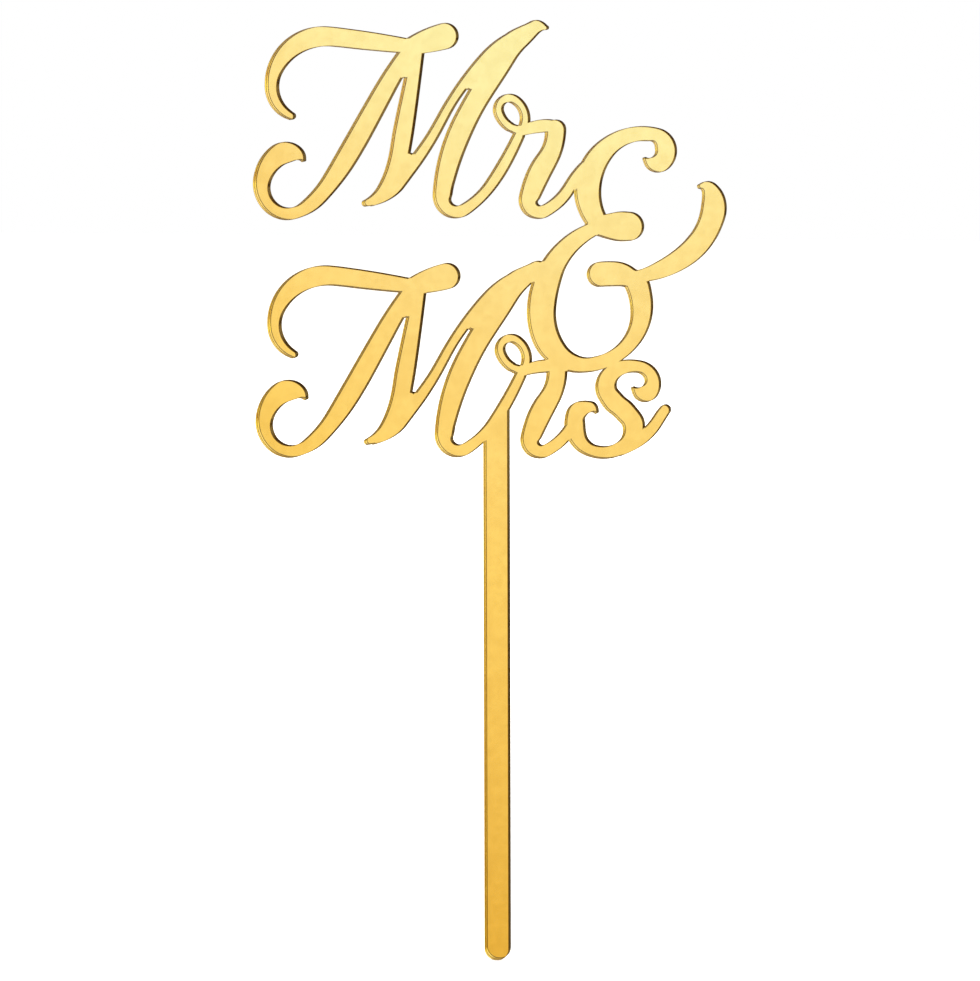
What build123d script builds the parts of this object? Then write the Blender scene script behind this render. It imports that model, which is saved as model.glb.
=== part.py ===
# Script cake topper: two lines of pen-drawn lettering joined by an ampersand, on one flat stake.
# The whole shape is laser-cut from a single sheet of gold mirror acrylic, so three bonded layers
# share one cut outline: the tinted acrylic, the mirror film behind it and the paint over that.
# Frame: origin at the stake's tip, +Z up the stake, +X to the reader's right, the face towards -Y.

from build123d import *

import math
import os

# Lettering sizes, in millimetres
CAP_HEIGHT = 46.0
LINE_SPACING = 56.7
STEM_WIDTH = 5.45
HAIRLINE_WIDTH = 2.65

# How much broader than drawn the letters are set
SET_RATIO = 1.02

# Stake sizes
STAKE_WIDTH = 5.9
STAKE_LENGTH = 120.0
STAKE_CORNER = 2.8

# Sheet sizes: the whole thickness as it is sold, and the two coats on its back
SHEET_THICKNESS = 3.0
MIRROR_THICKNESS = 0.05
PAINT_THICKNESS = 0.10

# The letters are drawn on squared paper. A pen station is (across, up, pen width), all in squares.
# A web is a short stroke that keeps the slit where two strokes part from ending in a point.
CAP_SQUARES = 195.0
LINE_SQUARES = 240.5
HEAD_SQUARES = 255.0
STEM_SQUARES = 22.0
HAIRLINE_SQUARES = 10.0

# The cutting path, in millimetres: how near it keeps to the drawn pen, how little a stretch may bow
# and be cut straight, and how near the coats' edges keep to it
PATH_TOLERANCE = 0.15
STRAIGHT_TOLERANCE = 0.03
COAT_TOLERANCE = 0.08

# Where the pen sets off for each word, as squares (across from the stake's axis, up from its line)
UPPER_START = (-246, -0.2)
LOWER_START = (-244.9, 0.6)
ENDING_START = (-244.2, 1)
AMPERSAND_START = (0.8, 0.5)

CAPITAL = {
    "flag": [
        (41, 100, 6.5), (28, 110, 10), (21.5, 127, 10.5), (24.5, 145, 13), (34, 161.5, 16),
        (52, 174.5, 18.5), (80, 180, 18.5), (115, 176, 17.5), (142, 172.5, 15.5), (165, 170, 12),
    ],
    "flag_ball": [(155, 168.5, 12), (174, 174.5, 21.5), (195.5, 180.5, 25)],
    "left_stem": [
        (163, 171, 14), (142.5, 140, 17), (129, 117, 18.5), (112.5, 87, 20.5), (95.5, 57, 20),
        (82, 37, 17.5), (66, 17, 15), (52, 6.5, 12), (36, 2, 11), (17, 11.5, 12.5), (11, 27, 14),
        (15.5, 46.5, 18), (28.5, 61.5, 21.5), (41, 63.5, 18), (49.5, 61, 10), (53, 56, 3),
    ],
    "middle_stem": [
        (167.5, 171, 14), (163.5, 140, 14), (159.5, 117, 16), (155, 92, 18), (150.5, 67, 19),
        (145, 45, 17.5), (136, 28.5, 14), (125, 17.5, 9.5), (116, 13.5, 6),
    ],
    "upstroke": [
        (122, 15, 8), (141.5, 27, 13), (156.5, 44.5, 12.5), (170.5, 62.5, 10.5), (189.5, 93, 9.5),
        (210, 126.5, 9.5), (231, 153.5, 11), (244, 166, 12), (257, 176, 11), (268, 183.5, 8),
    ],
    "right_stem": [
        (296, 189, 4), (289, 190.5, 10.5), (278.5, 184.5, 16), (263.5, 173.5, 22), (248, 150.5, 22),
        (232.5, 127, 21.5), (216, 97, 21.5), (203.5, 67, 21.5), (196, 42, 19), (193, 24, 17),
        (196, 10, 13), (207, 5, 11), (225, 15, 10.5), (240, 31.5, 10.5), (255, 55, 10.5), (269, 82, 9.5),
    ],
    "stem_web": [(154.5, 144.5, 10.5), (157.5, 152, 9), (161, 160, 8)],
    "slit_web": [(220.5, 133, 10.5), (226.5, 143, 9), (233, 154, 8)],
    "foot_web": [(159.5, 58, 10.5), (157, 52, 9), (154, 46, 8)],
}
SMALL_R = {
    "loop": [
        (270, 84, 8.5), (275.5, 99, 7.5), (271.5, 111, 7.5), (261, 119, 7), (251.5, 115.5, 7.5),
        (249, 106.5, 8), (253, 97, 8), (260, 90.5, 8),
    ],
    "shoulder": [
        (256, 93.5, 7), (262, 89.5, 7.5), (271, 87, 8.5), (283, 90, 11), (297, 92, 11.5), (306, 90, 12),
    ],
    "stem": [
        (305.5, 88, 18.5), (304.5, 77, 18), (295.5, 57, 20.5), (286, 37, 21.5), (280, 21, 18.5),
        (281, 9.5, 14.5), (290, 5.5, 11.5), (302, 11.5, 11), (313, 22.5, 11), (322.5, 36.5, 11),
        (333.5, 51, 9),
    ],
}
SMALL_S = {
    "spine": [
        (380.5, 70.5, 2.5), (386.5, 65.5, 11.5), (394.5, 66, 16), (400, 73, 15), (400, 79, 13.5),
        (396.5, 86, 12), (389, 91, 11.5), (375, 92, 12), (366.5, 90, 14), (358, 83.5, 17),
        (353.5, 71, 19), (360, 58, 20), (372.5, 46.5, 20), (381, 33.5, 20), (377, 19, 15.5),
        (365.5, 8.5, 12.5), (349.5, 5.5, 11), (335, 9, 12.5), (325, 20.5, 16), (322.5, 34, 18.5),
        (326.5, 47, 17), (334.5, 50, 12.5), (340.5, 50, 8.5), (344, 46, 3),
    ],
    "exit": [(367.5, 9, 12), (384, 17.5, 12), (398.5, 29.5, 11), (405.5, 40, 10.5), (412, 49, 9.5)],
}
# The ampersand's heights are counted from the lower line; its head starts at HEAD_SQUARES.
AMPERSAND = {
    "upper_bowl": [
        (147, 299.5, 2.5), (153, 295, 11), (161.5, 295.5, 17.5), (167, 302, 18), (168, 309, 19),
        (165.5, 316, 17), (159, 322.5, 13.5), (149.5, 324, 13), (133, 323, 13.5), (115, 314, 16.5),
        (101, 299.5, 21), (92.5, 281.5, 24.5), (90.5, 263.5, 24.5), (95, 245.5, 21.5), (104, 231.5, 18),
    ],
    "tongue": [(97, 233, 16), (111, 232, 23.5), (122, 232, 28), (131.5, 232, 27.5)],
    "lower_bowl": [
        (100, 230.5, 11.5), (78.5, 218, 16.5), (61, 199, 20), (49.5, 174.5, 25), (44.5, 149.5, 26.5),
        (47.5, 124.5, 26), (61, 103, 21.5), (83, 93.5, 14.5), (106, 97, 13), (125, 108, 13.5),
        (137.5, 124, 15.5), (143.5, 143.5, 19), (143, 160, 21.5), (138, 176, 21.5), (129, 183.5, 15),
    ],
    "bar": [(102.5, 184, 23.5), (112, 184.5, 23.5), (121, 184, 23), (129.5, 182, 20), (138, 175, 15)],
    "tail": [
        (128, 182, 8), (140, 182.5, 10.5), (158, 187.5, 15.5), (177.5, 197, 19), (195.5, 210.5, 21.5),
        (207.5, 227.5, 22.5), (214, 244.5, 23), (214.5, 258.5, 22), (211, 268.5, 16.5), (205.5, 272.5, 9),
        (202, 272.5, 4.5),
    ],
    "bowl_web": [(38, 180, 10.5), (42, 186, 9), (46, 192, 8)],
}

square = CAP_HEIGHT / CAP_SQUARES
lower_line = STAKE_LENGTH
upper_line = lower_line + LINE_SPACING
acrylic_thickness = SHEET_THICKNESS - MIRROR_THICKNESS - PAINT_THICKNESS


def pen_width(squares):
    # A drawn width in millimetres: tips scale with the hairline, swells with the stem.
    if squares <= HAIRLINE_SQUARES:
        return HAIRLINE_WIDTH * squares / HAIRLINE_SQUARES
    swell = (squares - HAIRLINE_SQUARES) / (STEM_SQUARES - HAIRLINE_SQUARES)
    return HAIRLINE_WIDTH + (STEM_WIDTH - HAIRLINE_WIDTH) * swell


def on_line(line):
    # The rule for heights in a word: squares up from its line.
    return lambda up: line + up * square


def between_lines(up):
    # Heights in the ampersand: the foot keeps to the lower word and the head to the upper one, so that
    # every join holds, and the waist between them takes up the spacing of the lines.
    foot = on_line(lower_line)
    head = on_line(upper_line - LINE_SQUARES * square)
    if up <= CAP_SQUARES:
        return foot(up)
    if up >= HEAD_SQUARES:
        return head(up)
    share = (up - CAP_SQUARES) / (HEAD_SQUARES - CAP_SQUARES)
    return foot(CAP_SQUARES) * (1 - share) + head(HEAD_SQUARES) * share


def placed(stations, start, height):
    # Pen stations as (centre, width) in millimetres, from the word's start and its rule for heights.
    return [
        (
            Vector((start[0] + across) * square * SET_RATIO, height(start[1] + up)),
            pen_width(width),
        )
        for across, up, width in stations
    ]


def headings(centres):
    # Unit direction of the pen at each centre, from the parabola through it and its neighbours.
    found = []
    for i in range(len(centres)):
        middle = min(max(i, 1), len(centres) - 2)
        before, at, after = centres[middle - 1 : middle + 2]
        first, second = (at - before).length, (after - at).length
        into, out = (at - before) / first, (after - at) / second
        turn = (into * second + out * first) / (first + second)
        if i == 0:
            turn = into * 2 - turn
        elif i == len(centres) - 1:
            turn = out * 2 - turn
        found.append(turn.normalized())
    return found


def bend(start, end, way):
    # From start to end, setting off along a unit direction: an arc, or a line where it hardly turns.
    bow = abs(way.cross(end - start).Z) / 4
    if bow < STRAIGHT_TOLERANCE:
        return Line(start, end)
    return TangentArc(start, end, tangent=way)


def arc_pair(start, end, leave, arrive):
    # Two arcs, tangent where they meet, from one point and direction to another.
    span = end - start
    along = span.dot(leave + arrive)
    turn = 2 * (1 - leave.dot(arrive)) * span.dot(span)
    reach = span.dot(span) / (along + math.sqrt(along**2 + turn))
    meet = (start + end + (leave - arrive) * reach) / 2
    way = (span - (leave + arrive) * reach).normalized()
    return [bend(start, meet, leave), bend(meet, end, way)]


def rail(points):
    # A smooth cutting path along the points. Each pair of arcs runs to the furthest point for which
    # those that it passes on the way are within the path's tolerance.
    ways = headings(points)
    path, at = [], 0
    while at < len(points) - 1:
        for to in range(len(points) - 1, at, -1):
            pair = arc_pair(points[at], points[to], ways[at], ways[to])
            passed = points[at + 1 : to]
            if all(min(arc.distance_to(point) for arc in pair) < PATH_TOLERANCE for point in passed):
                break
        path += pair
        at = to
    return path


def pen_stroke(stations):
    # One stroke of a round pen whose width changes on the way: two smooth rails and two round ends.
    centres = [centre for centre, _ in stations]
    ahead = headings(centres)
    left, right = [], []
    for (centre, width), heading in zip(stations, ahead):
        side = Vector(-heading.Y, heading.X) * (width / 2)
        left.append(centre + side)
        right.append(centre - side)
    start_tip = centres[0] - ahead[0] * (stations[0][1] / 2)
    end_tip = centres[-1] + ahead[-1] * (stations[-1][1] / 2)
    edges = [
        *rail(left),
        ThreePointArc(left[-1], end_tip, right[-1]),
        *rail(right[::-1]),
        ThreePointArc(right[0], start_tip, left[0]),
    ]
    return make_face(edges)


def height_on(stations, across):
    # Height of a stroke's centre line where it passes a given place across.
    for (a, _), (b, _) in zip(stations, stations[1:]):
        if min(a.X, b.X) <= across <= max(a.X, b.X) and b.Y > a.Y:
            return a.Y + (b.Y - a.Y) * (across - a.X) / (b.X - a.X)
    raise ValueError("the stroke does not pass over the stake")


def stake(carrier):
    # The flat stake, from its rounded tip up into the middle of the stroke that carries it.
    half = STAKE_WIDTH / 2
    corners = [
        (-half, 0),
        (half, 0),
        (half, height_on(carrier, half)),
        (-half, height_on(carrier, -half)),
    ]
    blade = make_face(Polyline(*corners, close=True))
    return fillet(blade.vertices().sort_by(Axis.Y)[:2], STAKE_CORNER)


def cut_outline():
    # Every stroke of both lines, the ampersand and the stake, as one outline.
    letters = [
        (CAPITAL, UPPER_START, on_line(upper_line)),
        (SMALL_R, UPPER_START, on_line(upper_line)),
        (AMPERSAND, AMPERSAND_START, between_lines),
        (CAPITAL, LOWER_START, on_line(lower_line)),
        (SMALL_R, LOWER_START, on_line(lower_line)),
        (SMALL_S, ENDING_START, on_line(lower_line)),
    ]
    strokes = [
        pen_stroke(placed(stations, start, height))
        for letter, start, height in letters
        for stations in letter.values()
    ]
    carrier = placed(CAPITAL["right_stem"], LOWER_START, on_line(lower_line))
    return stake(carrier).fuse(*strokes).clean()


def chord_count(edge):
    # How many chords keep within the coats' tolerance of an edge of the outline.
    if edge.geom_type == GeomType.LINE:
        return 1
    return math.ceil(edge.length / math.sqrt(8 * edge.radius * COAT_TOLERANCE))


def along_chords(outline):
    # The outline with its arcs taken along chords, for the coats, whose edges are too thin to show.
    loops = []
    for wire in [outline.outer_wire(), *outline.inner_wires()]:
        corners = []
        for edge in wire.order_edges():
            count = chord_count(edge)
            corners += [edge.position_at(i / count) for i in range(count)]
        loops.append(Wire.make_polygon(corners, close=True))
    return Face(loops[0], loops[1:])


def layer(outline, back, thickness):
    # One layer of the sheet, its back at the given depth, as thick as stated towards the reader.
    return extrude(Plane.XZ.offset(-back) * outline, thickness)


def main():
    outline = cut_outline()
    coat = along_chords(outline)
    back = SHEET_THICKNESS / 2
    layers = {
        "back_paint": layer(coat, back, PAINT_THICKNESS),
        "mirror_film": layer(coat, back - PAINT_THICKNESS, MIRROR_THICKNESS),
        "acrylic_sheet": layer(outline, back - PAINT_THICKNESS - MIRROR_THICKNESS, acrylic_thickness),
    }
    os.makedirs("parts", exist_ok=True)
    for name, solid in layers.items():
        export_step(solid, f"parts/{name}.step")


main()
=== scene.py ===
import math

import bmesh
import bpy
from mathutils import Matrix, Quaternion, Vector


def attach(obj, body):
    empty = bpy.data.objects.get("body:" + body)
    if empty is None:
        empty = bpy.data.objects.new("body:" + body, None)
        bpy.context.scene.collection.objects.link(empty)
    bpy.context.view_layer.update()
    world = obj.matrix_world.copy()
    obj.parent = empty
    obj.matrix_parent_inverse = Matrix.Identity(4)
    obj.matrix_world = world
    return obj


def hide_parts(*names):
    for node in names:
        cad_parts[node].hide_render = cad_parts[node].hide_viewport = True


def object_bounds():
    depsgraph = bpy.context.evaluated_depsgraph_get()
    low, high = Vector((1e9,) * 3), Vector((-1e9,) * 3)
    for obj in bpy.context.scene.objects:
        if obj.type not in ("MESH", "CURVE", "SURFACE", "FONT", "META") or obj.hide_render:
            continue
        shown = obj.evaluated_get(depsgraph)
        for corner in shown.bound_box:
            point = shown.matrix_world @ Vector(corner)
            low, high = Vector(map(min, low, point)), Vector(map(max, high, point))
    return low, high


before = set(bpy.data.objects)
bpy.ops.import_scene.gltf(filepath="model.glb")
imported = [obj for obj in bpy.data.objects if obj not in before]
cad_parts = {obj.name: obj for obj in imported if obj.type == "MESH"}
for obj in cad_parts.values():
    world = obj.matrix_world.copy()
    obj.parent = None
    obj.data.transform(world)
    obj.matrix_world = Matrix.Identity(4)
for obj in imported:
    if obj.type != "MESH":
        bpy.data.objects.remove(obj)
scene = bpy.context.scene
cadLow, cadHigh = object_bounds()
middle = (cadLow + cadHigh) / 2
print("loaded", sorted(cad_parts))


# one socket of a node tree; sums on it add their Math nodes
class Socket:
    def __init__(self, tree, socket=None):
        self.tree = tree
        self.socket = socket

    # any node: its settings first, then the values or links of its sockets
    def node(self, kind, settings=None, values=None, out=0):
        made = self.tree.nodes.new(kind)
        for name, value in (settings or {}).items():
            if name == "stops":
                fillRamp(made.color_ramp, value)
            else:
                setattr(made, name, value)
        for key, value in (values or {}).items():
            for item in value if isinstance(value, list) else [value]:
                if isinstance(item, Socket):
                    self.tree.links.new(item.socket, made.inputs[key])
                else:
                    made.inputs[key].default_value = item
        return Socket(self.tree, made.outputs[out])

    def other(self, name):
        return Socket(self.tree, self.socket.node.outputs[name])

    def maths(self, operation, first, second=0.0):
        return self.node("ShaderNodeMath", {"operation": operation}, {0: first, 1: second})

    def __add__(self, other):
        return self.maths("ADD", self, other)

    def __radd__(self, other):
        return self.maths("ADD", other, self)

    def __sub__(self, other):
        return self.maths("SUBTRACT", self, other)

    def __rsub__(self, other):
        return self.maths("SUBTRACT", other, self)

    def __mul__(self, other):
        return self.maths("MULTIPLY", self, other)

    def __rmul__(self, other):
        return self.maths("MULTIPLY", other, self)

    # 0 below low, 1 above high, eased between
    def between(self, low, high):
        return self.node(
            "ShaderNodeMapRange",
            {"interpolation_type": "SMOOTHSTEP"},
            {"Value": self, "From Min": low, "From Max": high},
        )

    # this value picks between two colours
    def blend(self, low, high):
        return self.node("ShaderNodeMix", {"data_type": "RGBA"}, {0: self, 6: low, 7: high}, out=2)


def fillRamp(ramp, stops):
    while len(ramp.elements) < len(stops):
        ramp.elements.new(1.0)
    for element, (place, colour) in zip(ramp.elements, stops):
        element.position = place
        element.color = colour


def rgb(red, green, blue):
    return (red, green, blue, 1.0)


# a material with an empty tree, and a first handle to build in it
def newFinish(name):
    finish = bpy.data.materials.new(name)
    finish.use_nodes = True
    finish.node_tree.nodes.clear()
    return finish, Socket(finish.node_tree)


def closeFinish(web, shader, volume=None):
    ends = {"Surface": shader}
    if volume:
        ends["Volume"] = volume
    made = web.tree.nodes.new("ShaderNodeOutputMaterial")
    for key, value in ends.items():
        web.tree.links.new(value.socket, made.inputs[key])


# noise on the object's own coordinates, stretched per axis; levels turn it into a mask
def grain(web, scale, detail=2.0, roughness=0.5, levels=None):
    place = web.node("ShaderNodeTexCoord").other("Object")
    place = web.node("ShaderNodeVectorMath", {"operation": "MULTIPLY"}, {0: place, 1: scale})
    noise = web.node(
        "ShaderNodeTexNoise",
        None,
        {"Vector": place, "Scale": 1.0, "Detail": detail, "Roughness": roughness},
    )
    return noise.between(*levels) if levels else noise


# a number that layerPiece stored on the faces
def faceMark(web, name):
    return web.node("ShaderNodeAttribute", {"attribute_name": name}, out="Fac")


def bumps(web, height, strength, depth):
    values = {"Strength": strength, "Distance": depth, "Height": height}
    return web.node("ShaderNodeBump", None, values)


def principled(web, values):
    return web.node("ShaderNodeBsdfPrincipled", None, values)


# where a CAD layer starts and ends, from the readable face to the back
def layerDepth(name):
    depths = [point.co.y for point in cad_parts[name].data.vertices]
    return min(depths), max(depths)


# metres, and noise waves per metre
acrylic = {
    "rim": 0.00012,  # the cut's softened arris
    "refraction": 1.49,
    "tint": rgb(0.98, 0.76, 0.01),
    "density": 304.0,
    "polished": rgb(1.0, 1.0, 1.0),
    "scorch": rgb(0.045, 0.020, 0.002),
    "toast": rgb(0.15, 0.075, 0.010),
    "striae": {"scale": (5200.0, 90.0, 5200.0), "detail": 1.0},  # the laser's lines
    "striaeStrength": 0.35,
    "striaeDepth": 0.000012,
    "scuffs": {
        "scale": (160.0, 160.0, 24.0), "detail": 4.0, "roughness": 0.7, "levels": (0.60, 0.74)
    },
    "haze": {"scale": (45.0, 45.0, 45.0), "detail": 3.0, "levels": (0.35, 0.75)},
    "burn": {"scale": (700.0, 260.0, 700.0), "levels": (0.2, 0.8)},
    "faceRough": 0.012,
    "hazeRough": 0.010,
    "scuffRough": 0.05,
    "cutRough": 0.10,
    "striaeRough": 0.14,
    "lipStart": 0.00006,  # burr where the cut leaves the face, below the face
    "lipEnd": 0.00016,
    "cutChar": 0.03,  # share of charring on the cut, and what burns and the lip add; the last of these four darkens upward-facing cut edges as painted shade
    "burnChar": 0.10,
    "lipChar": 0.32,
    # painted shade: an extra dark coat on cut edges that face upward
    "topShadeShare": 0.55,
    "charRough": 0.55,
    "charGloss": 0.2,
}


def amberAcrylic():
    finish, web = newFinish("amberAcrylic")
    front = layerDepth("acrylic_sheet")[0]
    cut = faceMark(web, "cutEdge")
    # how far a cut face turns upward, used only to paint shade on top cut edges
    upFacing = faceMark(web, "upEdge")
    striae = grain(web, **acrylic["striae"])
    scuffs = grain(web, **acrylic["scuffs"])
    haze = grain(web, **acrylic["haze"])
    burn = grain(web, **acrylic["burn"])
    scorched = burn.blend(acrylic["scorch"], acrylic["toast"])
    place = web.node("ShaderNodeTexCoord").other("Object")
    deep = web.node("ShaderNodeSeparateXYZ", None, {0: place}).other("Y")
    lip = 1.0 - deep.between(front + acrylic["lipStart"], front + acrylic["lipEnd"])
    rough = (
        acrylic["faceRough"]
        + haze * acrylic["hazeRough"]
        + scuffs * acrylic["scuffRough"]
        + cut * (acrylic["cutRough"] + striae * acrylic["striaeRough"])
    )
    # charring on the cut from the laser, its burns and the lip, plus painted shade on
    # upward-facing cut edges
    charAndTopShade = cut * (
        acrylic["cutChar"]
        + burn * acrylic["burnChar"]
        + lip * (acrylic["lipChar"] + upFacing * acrylic["topShadeShare"])
    )
    clear = principled(
        web,
        {
            "Base Color": cut.blend(acrylic["polished"], scorched),
            "Roughness": rough,
            "IOR": acrylic["refraction"],
            "Transmission Weight": 1.0,
            "Normal": bumps(web, striae * cut, acrylic["striaeStrength"], acrylic["striaeDepth"]),
        },
    )
    # dark rough coat for the charring, and for the painted shade on top cut edges
    charAndTopShadeCoat = principled(
        web,
        {
            "Base Color": scorched,
            "Roughness": acrylic["charRough"],
            "Specular IOR Level": acrylic["charGloss"],
        },
    )
    shader = web.node("ShaderNodeMixShader", None, {0: charAndTopShade, 1: clear, 2: charAndTopShadeCoat})
    volume = web.node(
        "ShaderNodeVolumeAbsorption",
        None,
        {"Color": acrylic["tint"], "Density": acrylic["density"]},
    )
    closeFinish(web, shader, volume)
    return finish


film = {
    "bite": 0.00002,  # let into the acrylic, so that no gap shows
    "inset": 0.00004,
    "waves": {"scale": (26.0, 26.0, 26.0), "detail": 1.0},
    "waveStrength": 1.0,
    "waveDepth": 0.00003,
    "cloud": {"scale": (60.0, 60.0, 60.0), "detail": 3.0},
    "cloudShare": 0.4,
    "mottle": {"scale": (420.0, 420.0, 420.0), "detail": 3.0},
    "mottleShare": 0.6,
    "levels": (0.3, 0.7),
    "warm": rgb(0.8875, 0.857, 0.775),
    "cool": rgb(0.9625, 0.968, 0.985),
    "filmRough": 0.02,
    "cloudRough": 0.02,
}


def mirrorMetal():
    finish, web = newFinish("mirrorMetal")
    waves = grain(web, **film["waves"])
    cloud = grain(web, **film["cloud"])
    mottle = grain(web, **film["mottle"])
    uneven = cloud * film["cloudShare"] + mottle * film["mottleShare"]
    colour = uneven.between(*film["levels"]).blend(film["warm"], film["cool"])
    shader = principled(
        web,
        {
            "Base Color": faceMark(web, "cutEdge").blend(colour, acrylic["scorch"]),
            "Metallic": 1.0,
            "Roughness": film["filmRough"] + cloud * film["cloudRough"],
            "Normal": bumps(web, waves, film["waveStrength"], film["waveDepth"]),
        },
    )
    closeFinish(web, shader)
    return finish


paint = {
    "inset": 0.00002,
    "peel": {"scale": (2600.0, 2600.0, 2600.0)},
    "peelStrength": 0.4,
    "peelDepth": 0.00003,
    "patch": {"scale": (70.0, 70.0, 38.0), "detail": 4.0},
    "levels": (0.25, 0.75),
    "dark": rgb(0.25, 0.255, 0.26),
    "light": rgb(0.33, 0.33, 0.33),
    "specks": {"scale": (1500.0, 1500.0, 1500.0), "detail": 0.0, "levels": (0.66, 0.74)},
    "speckTone": rgb(0.44, 0.44, 0.44),
    "paintRough": 0.46,
    "patchRough": 0.16,
}


def greyPaint():
    finish, web = newFinish("greyPaint")
    peel = grain(web, **paint["peel"])
    patch = grain(web, **paint["patch"])
    colour = patch.between(*paint["levels"]).blend(paint["dark"], paint["light"])
    colour = grain(web, **paint["specks"]).blend(colour, paint["speckTone"])
    shader = principled(
        web,
        {
            "Base Color": faceMark(web, "cutEdge").blend(colour, acrylic["scorch"]),
            "Roughness": paint["paintRough"] + patch * paint["patchRough"],
            "Normal": bumps(web, peel, paint["peelStrength"], paint["peelDepth"]),
        },
    )
    closeFinish(web, shader)
    return finish


# how every layer is cut; the cosines tell the front face and the corners of its rim
plate = {
    "frontCosine": 0.9,
    "cornerCosine": 0.88,
    "weld": 1e-6,
    "smoothness": 4,
    "quickSmoothness": 2,
    "rimSteps": 2,
    "rimAngle": 50.0,
    "cutGain": 9.0,  # how soon a face that turns from the front counts as cut
}


# the front face's rim as ordered loops of (across, up), the plate on the left of each
def frontLoops(node):
    shell = bmesh.new()
    shell.from_mesh(node.data)
    bmesh.ops.remove_doubles(shell, verts=shell.verts, dist=plate["weld"])
    follow = {}
    for face in shell.faces:
        if face.normal.y > -plate["frontCosine"]:
            continue
        for loop in face.loops:
            if any(other.normal.y > -plate["frontCosine"] for other in loop.edge.link_faces):
                follow[loop.vert] = loop.link_loop_next.vert
    loops = []
    while follow:
        point, after = follow.popitem()
        ring = [Vector((point.co.x, point.co.z))]
        while after in follow:
            ring.append(Vector((after.co.x, after.co.z)))
            after = follow.pop(after)
        loops.append(ring)
    shell.free()
    return loops


# loops drawn in as edges, with their corners marked
def outlineMesh(name, loops, inset):
    points, edges, corners = [], [], []
    for ring in loops:
        first = len(points)
        for place, point in enumerate(ring):
            came = (point - ring[place - 1]).normalized()
            goes = (ring[(place + 1) % len(ring)] - point).normalized()
            inward = Vector((-came.y - goes.y, came.x + goes.x)).normalized()
            corners.append(came.dot(goes) < plate["cornerCosine"])
            points.append((point + inward * inset).to_3d())
            edges.append((first + place, first + (place + 1) % len(ring)))
    mesh = bpy.data.meshes.new(name)
    mesh.from_pydata(points, edges, [])
    marks = mesh.attributes.new("corner", "BOOLEAN", "POINT")
    marks.data.foreach_set("value", corners)
    return mesh


# outline in, smooth plate out: filled, thickened, stood upright
def cutPlateTree():
    tree = bpy.data.node_groups.new("cutPlate", "GeometryNodeTree")
    for name, kind in {
        "Outline": "Geometry",
        "Thickness": "Float",
        "Back": "Float",
        "Smoothness": "Int",
        "Finish": "Material",
    }.items():
        tree.interface.new_socket(name, in_out="INPUT", socket_type="NodeSocket" + kind)
    tree.interface.new_socket("Plate", in_out="OUTPUT", socket_type="NodeSocketGeometry")
    web = Socket(tree)
    given = web.node("NodeGroupInput")
    curve = web.node("GeometryNodeMeshToCurve", None, {"Mesh": given})
    curve = web.node("GeometryNodeCurveSplineType", {"spline_type": "BEZIER"}, {"Curve": curve})
    sides = {"LEFT", "RIGHT"}
    curve = web.node(
        "GeometryNodeCurveSetHandles",
        {"handle_type": "AUTO", "mode": sides},
        {"Curve": curve},
    )
    corner = web.node(
        "GeometryNodeInputNamedAttribute",
        {"data_type": "BOOLEAN"},
        {"Name": "corner"},
    )
    curve = web.node(
        "GeometryNodeCurveSetHandles",
        {"handle_type": "VECTOR", "mode": sides},
        {"Curve": curve, "Selection": corner},
    )
    curve = web.node(
        "GeometryNodeSetSplineResolution",
        None,
        {"Geometry": curve, "Resolution": given.other("Smoothness")},
    )
    face = web.node("GeometryNodeFillCurve", {"mode": "NGONS"}, {"Curve": curve})
    solid = web.node(
        "GeometryNodeExtrudeMesh",
        {"mode": "FACES"},
        {"Mesh": face, "Offset Scale": given.other("Thickness"), "Individual": False},
    )
    solid = web.node(
        "GeometryNodeSetShadeSmooth",
        None,
        {"Geometry": solid, "Shade Smooth": solid.other("Side")},
    )
    base = web.node("GeometryNodeFlipFaces", None, {"Mesh": face})
    base = web.node("GeometryNodeSetShadeSmooth", None, {"Geometry": base, "Shade Smooth": False})
    solid = web.node("GeometryNodeJoinGeometry", None, {"Geometry": [solid, base]})
    solid = web.node(
        "GeometryNodeMergeByDistance",
        None,
        {"Geometry": solid, "Distance": plate["weld"]},
    )
    depth = web.node("ShaderNodeCombineXYZ", None, {"Y": given.other("Back")})
    solid = web.node(
        "GeometryNodeTransform",
        None,
        {"Geometry": solid, "Translation": depth, "Rotation": (math.pi / 2, 0.0, 0.0)},
    )
    solid = web.node("GeometryNodeRealizeInstances", None, {"Geometry": solid})
    solid = web.node(
        "GeometryNodeSetMaterial",
        None,
        {"Geometry": solid, "Material": given.other("Finish")},
    )
    ending = tree.nodes.new("NodeGroupOutput")
    tree.links.new(solid.socket, ending.inputs["Plate"])
    return tree


def inputId(tree, name):
    for item in tree.interface.items_tree:
        if item.name == name and item.in_out == "INPUT":
            return item.identifier


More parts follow.
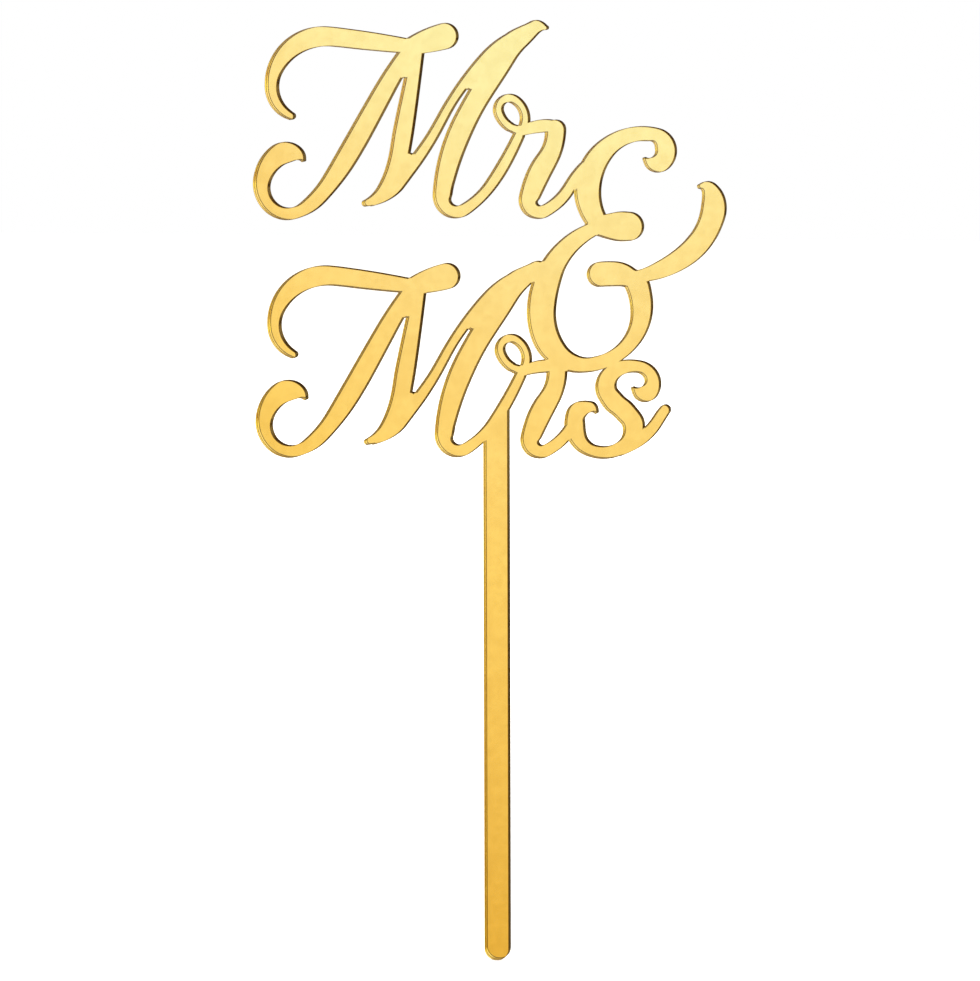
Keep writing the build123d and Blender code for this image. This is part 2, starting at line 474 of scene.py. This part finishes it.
# one layer of the sheet as a plain mesh standing for its CAD node
def layerPiece(name, node, loops, tree, sizes, finish):
    front, back = layerDepth(node)
    outline = outlineMesh(name, loops, sizes.get("inset", 0.0))
    shape = bpy.data.objects.new(name + "Shape", outline)
    scene.collection.objects.link(shape)
    grow = shape.modifiers.new("plate", "NODES")
    grow.node_group = tree
    given = {
        "Thickness": back - front + sizes.get("bite", 0.0),
        "Back": back,
        "Smoothness": plate["smoothness"],
        "Finish": finish,
    }
    for label, value in given.items():
        grow[inputId(tree, label)] = value
    if "rim" in sizes:
        soft = shape.modifiers.new("rim", "BEVEL")
        soft.width = sizes["rim"]
        soft.segments = plate["rimSteps"]
        soft.limit_method = "ANGLE"
        soft.angle_limit = math.radians(plate["rimAngle"])
        soft.use_clamp_overlap = False
        soft.harden_normals = True
    bpy.context.view_layer.update()
    grown = shape.evaluated_get(bpy.context.evaluated_depsgraph_get())
    solid = bpy.data.meshes.new_from_object(grown)
    solid.name = name
    solid.materials.clear()
    solid.materials.append(finish)
    turned = [plate["cutGain"] * (1 - abs(face.normal.y)) for face in solid.polygons]
    marks = {
        "cutEdge": [min(1.0, share) for share in turned],
        # how far each face turns upward; the acrylic uses it to paint shade on top cut edges
        "upEdge": [max(0.0, face.normal.z) for face in solid.polygons],
    }
    for mark, values in marks.items():
        solid.attributes.new(mark, "FLOAT", "FACE").data.foreach_set("value", values)
    bpy.data.objects.remove(shape)
    bpy.data.meshes.remove(outline)
    piece = bpy.data.objects.new(name, solid)
    scene.collection.objects.link(piece)
    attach(piece, "root")
    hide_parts(node)
    print("made", name, len(solid.vertices), "points", len(solid.polygons), "faces")


rimLoops = frontLoops(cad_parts["acrylic_sheet"])
print("outline", [len(ring) for ring in rimLoops])
plateTree = cutPlateTree()
for name, node, slot, sizes, finish in (
    ("amberPlate", "acrylic_sheet", "amber_acrylic", acrylic, amberAcrylic()),
    ("mirrorFilm", "mirror_film", "mirror", film, mirrorMetal()),
    ("backPaint", "back_paint", "paint", paint, greyPaint()),
):
    layerPiece(name, node, rimLoops, plateTree, sizes, finish)


# camera to the reader's right and a little above, aimed near the middle of the topper
view = {
    "turn": 11.5,
    "rise": 5.5,
    "lean": -0.15,
    "distance": 1.5,
    "height": 0.2319,  # what the picture takes in at the topper
    "across": 0.00022,
    "up": 0.00056,
    "nearest": 0.05,
}
turn, rise = math.radians(view["turn"]), math.radians(view["rise"])
aim = middle + Vector((view["across"], 0.0, view["up"]))
level = Vector((math.sin(turn), -math.cos(turn), 0.0))
away = level * math.cos(rise) + Vector((0.0, 0.0, math.sin(rise)))
lens = bpy.data.cameras.new("photoCamera")
lens.angle = 2 * math.atan(view["height"] / 2 / view["distance"])
lens.clip_start = view["nearest"]
camera = bpy.data.objects.new("photoCamera", lens)
scene.collection.objects.link(camera)
camera.location = aim + away * view["distance"]
lean = Quaternion((0.0, 0.0, 1.0), math.radians(view["lean"]))
camera.rotation_euler = ((-away).to_track_quat("-Z", "Y") @ lean).to_euler()
scene.camera = camera
scene.view_settings.view_transform = "Standard"
print("camera at", [round(value, 3) for value in camera.location])


# pale floor, kept out of the mirror
ground = {
    "reach": 3.0,
    "gap": 0.0002,  # below the stake's tip
    "cloud": {"scale": (3.0, 3.0, 3.0), "detail": 3.0},
    "levels": (0.2, 0.8),
    "dim": rgb(0.90, 0.90, 0.895),
    "bright": rgb(0.93, 0.93, 0.925),
    "groundRough": 0.7,
    "cloudRough": 0.2,
}


def paleFloor():
    finish, web = newFinish("paleFloor")
    cloud = grain(web, **ground["cloud"])
    colour = cloud.between(*ground["levels"]).blend(ground["dim"], ground["bright"])
    shader = principled(
        web,
        {
            "Base Color": colour,
            "Roughness": ground["groundRough"] + cloud * ground["cloudRough"],
            "Emission Color": colour,
            "Emission Strength": 1.0,
        },
    )
    closeFinish(web, shader)
    return finish


def layFloor():
    reach = ground["reach"]
    plane = bpy.data.meshes.new("floor")
    corners = [(-reach, -reach, 0), (reach, -reach, 0), (reach, reach, 0), (-reach, reach, 0)]
    plane.from_pydata(corners, [], [(0, 1, 2, 3)])
    plane.materials.append(paleFloor())
    floor = bpy.data.objects.new("floor", plane)
    floor.location.z = cadLow.z - ground["gap"]
    floor.visible_diffuse = False
    floor.visible_glossy = False
    floor.visible_transmission = False
    scene.collection.objects.link(floor)


layFloor()

studioStrength = 2.2  # keeps the stops of the studio's ramps below 1


# a tone of the studio, by the light that it sends
def tone(red, green, blue):
    return rgb(red / studioStrength, green / studioStrength, blue / studioStrength)


# what the mirror and the cut edges reflect: ahead a graded card on the left and warmer light on
# the right, behind a dark wall with two lit patches, a dim room at the sides and overhead
studio = {
    "lowest": -0.17,
    "highest": -0.03,
    "card": [
        (0.0, tone(0.905, 0.71, 0.25)),
        (0.25, tone(1.015, 0.89, 0.48)),
        (0.45, tone(1.112, 1.05, 0.70)),
        (0.70, tone(1.12, 1.14, 1.08)),
        (1.0, tone(1.13, 1.46, 2.10)),
    ],
    "cardMiddle": -0.2,
    "cardReach": 0.08,
    "cardTilt": 0.45,
    "cardBow": 14.0,
    "side": [
        (0.0, tone(0.70, 0.45, 0.01)),
        (0.15, tone(0.79, 0.53, 0.02)),
        (0.45, tone(1.08, 0.83, 0.24)),
        (0.85, tone(1.60, 1.66, 0.70)),
    ],
    "between": tone(1.62, 1.72, 0.56),
    "under": tone(0.76, 0.74, 0.26),
    "above": tone(0.924, 0.836, 0.638),
    "gleam": tone(1.48, 1.52, 1.28),
    "behind": tone(0.09, 0.052, 0.016),
    "backGlow": tone(0.90, 0.62, 0.20),
    "roomLeft": tone(0.924, 0.748, 0.44),
    "roomRight": tone(0.44, 0.308, 0.132),
    "ceiling": tone(0.154, 0.132, 0.099),
    # where a ray across, up or to the back passes from one tone to the next
    "underBetween": (-0.215, -0.185),
    "betweenSide": (0.165, 0.19),
    "cardSide": (-0.10, 0.02),
    "aboveGleam": (-0.05, 0.12),
    "aheadAbove": (0.005, 0.05),
    "roomLeftRight": (-0.3, 0.6),
    "aheadRoom": (0.40, 0.75),
    "lowGlowStart": (0.015, 0.075),
    "lowGlowEnd": (0.13, 0.16),
    "lowGlowTop": (-0.14, -0.10),
    "farGlowStart": (0.205, 0.23),
    "farGlowFoot": (-0.09, -0.06),
    "behindRoom": (0.20, 0.60),
    "aheadBack": (-0.1, 0.1),
    "aroundCeiling": (0.45, 0.8),
}


def studioAhead(web, across, height):
    reach = {"From Min": studio["lowest"], "From Max": studio["highest"]}
    sway = web.node(
        "ShaderNodeClamp",
        None,
        {
            "Value": across - studio["cardMiddle"],
            "Min": -studio["cardReach"],
            "Max": studio["cardReach"],
        },
    )
    bent = height + sway * studio["cardTilt"] - sway * sway * studio["cardBow"]
    level = web.node("ShaderNodeMapRange", None, {"Value": bent, **reach})
    card = web.node("ShaderNodeValToRGB", {"stops": studio["card"]}, {"Fac": level})
    level = web.node("ShaderNodeMapRange", None, {"Value": height, **reach})
    side = web.node("ShaderNodeValToRGB", {"stops": studio["side"]}, {"Fac": level})
    between = height.between(*studio["underBetween"]).blend(studio["under"], studio["between"])
    side = across.between(*studio["betweenSide"]).blend(between, side)
    ahead = across.between(*studio["cardSide"]).blend(card, side)
    above = across.between(*studio["aboveGleam"]).blend(studio["above"], studio["gleam"])
    return height.between(*studio["aheadAbove"]).blend(ahead, above)


def studioBehind(across, height):
    lowGlow = across.between(*studio["lowGlowStart"])
    lowGlow = lowGlow * (1.0 - across.between(*studio["lowGlowEnd"]))
    lowGlow = lowGlow * (1.0 - height.between(*studio["lowGlowTop"]))
    farGlow = across.between(*studio["farGlowStart"]) * height.between(*studio["farGlowFoot"])
    return (lowGlow + farGlow).blend(studio["behind"], studio["backGlow"])


def studioWorld():
    world = bpy.data.worlds.new("studio")
    world.use_nodes = True
    world.node_tree.nodes.clear()
    web = Socket(world.node_tree)
    ray = web.node("ShaderNodeTexCoord").other("Generated")
    parts = web.node("ShaderNodeSeparateXYZ", None, {0: ray})
    across, depth, height = parts.other("X"), parts.other("Y"), parts.other("Z")
    room = across.between(*studio["roomLeftRight"]).blend(studio["roomLeft"], studio["roomRight"])
    aside = across * across + height * height  # 0 along the sheet's axis, 1 square to it
    ahead = aside.between(*studio["aheadRoom"]).blend(studioAhead(web, across, height), room)
    back = aside.between(*studio["behindRoom"]).blend(studioBehind(across, height), room)
    around = depth.between(*studio["aheadBack"]).blend(ahead, back)
    colour = height.between(*studio["aroundCeiling"]).blend(around, studio["ceiling"])
    shown = web.node("ShaderNodeBackground", None, {"Color": rgb(1.0, 1.0, 1.0), "Strength": 1.0})
    lit = web.node("ShaderNodeBackground", None, {"Color": colour, "Strength": studioStrength})
    seen = web.node("ShaderNodeLightPath", out="Is Camera Ray")
    both = web.node("ShaderNodeMixShader", None, {0: seen, 1: lit, 2: shown})
    made = world.node_tree.nodes.new("ShaderNodeOutputWorld")
    world.node_tree.links.new(both.socket, made.inputs["Surface"])
    scene.world = world


studioWorld()

# metres and watts
lamps = {
    "overhead": {"place": (-0.2, -0.3, 1.5), "size": 1.2, "power": 18.0},
    "behind": {"place": (0.5, 1.3, 1.1), "size": 0.9, "power": 22.0},
}


# a soft lamp aimed at the topper
def softLamp(name, place, size, power):
    light = bpy.data.lights.new(name, "AREA")
    light.size = size
    light.energy = power
    lamp = bpy.data.objects.new(name, light)
    lamp.location = place
    lamp.rotation_euler = (middle - Vector(place)).to_track_quat("-Z", "Y").to_euler()
    lamp.visible_glossy = False
    lamp.visible_transmission = False
    scene.collection.objects.link(lamp)


for name, settings in lamps.items():
    softLamp(name, **settings)
print("lit")
